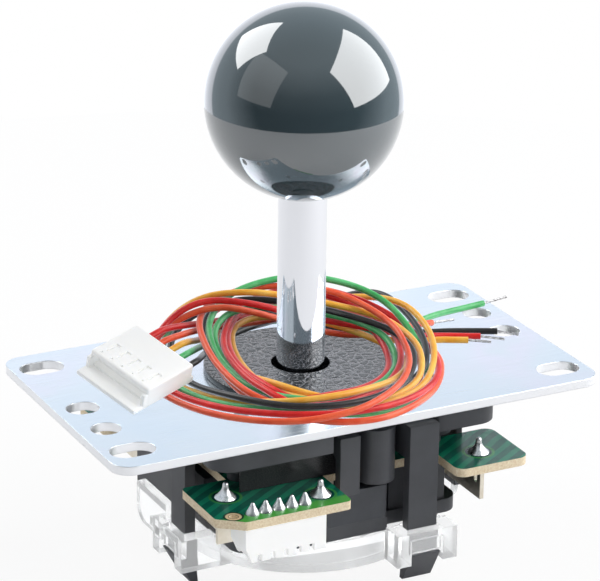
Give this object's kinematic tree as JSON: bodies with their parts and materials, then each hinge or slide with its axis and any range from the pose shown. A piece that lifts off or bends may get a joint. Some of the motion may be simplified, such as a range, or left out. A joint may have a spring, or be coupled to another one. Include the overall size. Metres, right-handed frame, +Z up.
{
  "type": "arcade joystick lever",
  "caption": "Arcade joystick lever: ball on a chromed shaft through a slotted mounting plate, with snap switches, a square gate and a loose wire harness below and around it.",
  "frame": {"origin": "centre of the mounting plate's top face, on the lever's axis", "axes": "+Z up along the shaft towards the ball, +X along the plate's long edge, +Y away from the board header"},
  "size_m": [0.0983, 0.0596, 0.1015],
  "materials": {
    "ball": "polished",
    "brass": "turned",
    "chrome": "polished",
    "pivot_plastic": "smooth moulded",
    "spring_steel": "plain",
    "washer": "grained",
    "zinc_plate": "bright zinc",
    "housing_plastic": "fine moulded",
    "switch_plastic": "fine moulded",
    "board": "solder mask over glass fibre",
    "nylon": "natural nylon",
    "tinned": "tin plated",
    "solder": "bright solder",
    "clear_plastic": "clear moulded",
    "terminal": "tinned brass",
    "copper": "stranded copper",
    "wire_red": "flexible insulation",
    "wire_orange": "flexible insulation",
    "wire_yellow": "flexible insulation",
    "wire_green": "flexible insulation",
    "wire_black": "flexible insulation"
  },
  "bodies": {
    "base": {"spring_collar": "spring_steel", "dust_washer": "washer", "mounting_plate": "zinc_plate", "plate_screws": "spring_steel", "housing": "housing_plastic", "switch_board": "board", "board_header": "nylon", "header_pins": "tinned", "solder_joints": "solder", "switch_holder": "housing_plastic", "gate_frame": "clear_plastic", "gate_insert": "clear_plastic", "harness_connector": "nylon", "harness_coil": "wire_red", "harness_strands": "copper", "switch_case_front": "switch_plastic", "switch_terminals_front": "terminal", "switch_case_left": "switch_plastic", "switch_terminals_left": "terminal", "switch_case_back": "switch_plastic", "switch_terminals_back": "terminal", "switch_case_right": "switch_plastic", "switch_terminals_right": "terminal", "lead_red": "wire_red", "tail_red": "wire_red", "lead_orange": "wire_orange", "tail_orange": "wire_orange", "lead_yellow": "wire_yellow", "tail_yellow": "wire_yellow", "lead_green": "wire_green", "tail_green": "wire_green", "lead_black": "wire_black", "tail_black": "wire_black"},
    "tilt_frame": {"centring_spring": "spring_steel"},
    "pivot": {"pivot_ball": "pivot_plastic"},
    "lever": {"lever_shaft": "chrome", "ball_top": "ball", "ball_insert": "brass", "actuator": "pivot_plastic", "retaining_ring": "spring_steel"},
    "leaf_front": {"switch_leaf_front": "spring_steel"},
    "plunger_front": {"switch_plunger_front": "nylon"},
    "leaf_left": {"switch_leaf_left": "spring_steel"},
    "plunger_left": {"switch_plunger_left": "nylon"},
    "leaf_back": {"switch_leaf_back": "spring_steel"},
    "plunger_back": {"switch_plunger_back": "nylon"},
    "leaf_right": {"switch_leaf_right": "spring_steel"},
    "plunger_right": {"switch_plunger_right": "nylon"}
  },
  "joints": [
    {"name": "tilt_front_back", "type": "hinge", "parent": "base", "child": "tilt_frame", "pos_m": [0, 0, -0.005], "axis": [1, 0, 0], "range_deg": [-7.5, 7.5], "stiffness_Nm_per_rad": 0.4, "deforming": ["centring_spring"]},
    {"name": "tilt_left_right", "type": "hinge", "parent": "tilt_frame", "child": "pivot", "pos_m": [0, 0, -0.005], "axis": [0, 1, 0], "range_deg": [-7.5, 7.5], "stiffness_Nm_per_rad": 0.4, "deforming": ["centring_spring"]},
    {"name": "lever_spin", "type": "hinge", "parent": "pivot", "child": "lever", "pos_m": [0, 0, -0.005], "axis": [0, 0, 1], "continuous": true},
    {"name": "leaf_front_swing", "type": "hinge", "parent": "base", "child": "leaf_front", "pos_m": [-0.00855, -0.0123, -0.0182], "axis": [0, 0, -1], "range_deg": [0, 3.4], "stiffness_Nm_per_rad": 0.05},
    {"name": "plunger_front_slide", "type": "slide", "parent": "base", "child": "plunger_front", "axis": [0, -1, 0], "range_m": [0, 0.0005]},
    {"name": "leaf_left_swing", "type": "hinge", "parent": "base", "child": "leaf_left", "pos_m": [-0.0123, 0.00855, -0.0182], "axis": [0, 0, -1], "range_deg": [0, 3.4], "stiffness_Nm_per_rad": 0.05},
    {"name": "plunger_left_slide", "type": "slide", "parent": "base", "child": "plunger_left", "axis": [-1, 0, 0], "range_m": [0, 0.0005]},
    {"name": "leaf_back_swing", "type": "hinge", "parent": "base", "child": "leaf_back", "pos_m": [0.00855, 0.0123, -0.0182], "axis": [0, 0, -1], "range_deg": [0, 3.4], "stiffness_Nm_per_rad": 0.05},
    {"name": "plunger_back_slide", "type": "slide", "parent": "base", "child": "plunger_back", "axis": [0, 1, 0], "range_m": [0, 0.0005]},
    {"name": "leaf_right_swing", "type": "hinge", "parent": "base", "child": "leaf_right", "pos_m": [0.0123, -0.00855, -0.0182], "axis": [0, 0, -1], "range_deg": [0, 3.4], "stiffness_Nm_per_rad": 0.05},
    {"name": "plunger_right_slide", "type": "slide", "parent": "base", "child": "plunger_right", "axis": [1, 0, 0], "range_m": [0, 0.0005]}
  ],
  "couplings": [
    {"joint": "plunger_front_slide", "follows": "leaf_front_swing", "m_per_rad": 0.0084},
    {"joint": "plunger_left_slide", "follows": "leaf_left_swing", "m_per_rad": 0.0084},
    {"joint": "plunger_back_slide", "follows": "leaf_back_swing", "m_per_rad": 0.0084},
    {"joint": "plunger_right_slide", "follows": "leaf_right_swing", "m_per_rad": 0.0084}
  ]
}
